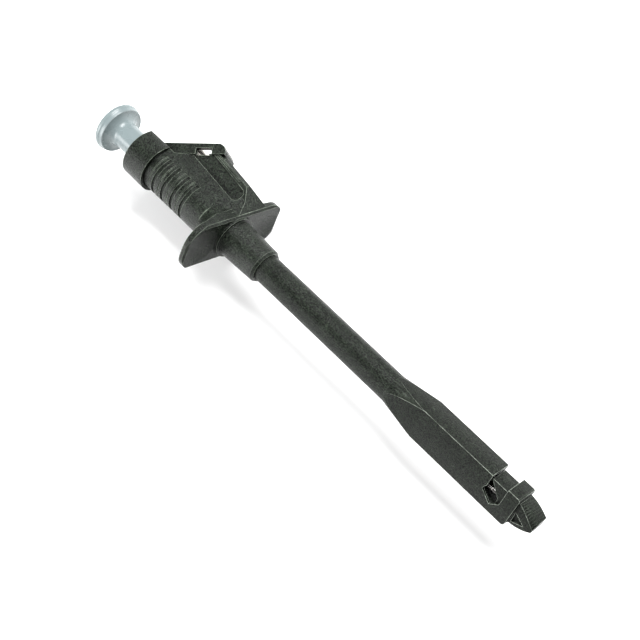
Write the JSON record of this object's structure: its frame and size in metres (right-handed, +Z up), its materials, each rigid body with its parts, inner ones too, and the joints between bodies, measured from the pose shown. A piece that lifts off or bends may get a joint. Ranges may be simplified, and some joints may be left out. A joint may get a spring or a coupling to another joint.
{
  "type": "clamp-type test probe",
  "caption": "Plunger-operated clamp-type test probe with a finger flange, side plug socket, long insulated shaft and a spring-loaded hook jaw over a needle.",
  "frame": {"origin": "on the probe's axis, where the shaft leaves the mouth of the handle's nose", "axes": "+X along the probe towards its tip, +Y the way the wing points, +Z up with the probe lying on its side"},
  "size_m": [0.1585, 0.0305, 0.0284],
  "materials": {
    "moulded_dark": "matte, fine moulded grain",
    "moulded_blue_grey": "satin",
    "acetal": "satin",
    "liner": "satin",
    "seal_rubber": "matte",
    "steel": "bright drawn",
    "brass": "drawn",
    "nickel": "nickel plated"
  },
  "bodies": {
    "handle": {"handle_body": "moulded_dark", "end_cap": "moulded_dark", "shaft_tube": "moulded_dark", "shaft_lock_pin": "steel", "guide_bush": "acetal", "spring_seat": "steel", "rod_guides": "acetal", "needle_holder": "brass", "needle": "steel", "conductor_rod": "brass", "socket_contact": "nickel", "socket_clamp_ring": "nickel", "socket_liner": "liner", "link_strip": "brass", "link_screw": "steel", "wiper_seal": "seal_rubber"},
    "plunger": {"plunger_button": "moulded_blue_grey", "push_rod": "steel", "button_pin": "steel", "spring_washer": "steel", "rod_sheath": "acetal", "hook": "moulded_dark", "hook_pin": "steel", "return_spring": "steel"}
  },
  "joints": [
    {"name": "plunger_slide", "type": "slide", "parent": "handle", "child": "plunger", "axis": [1, 0, 0], "range_m": [0, 0.0058], "stiffness_N_per_m": 350, "springref_m": -0.008, "deforming": ["return_spring"]}
  ]
}
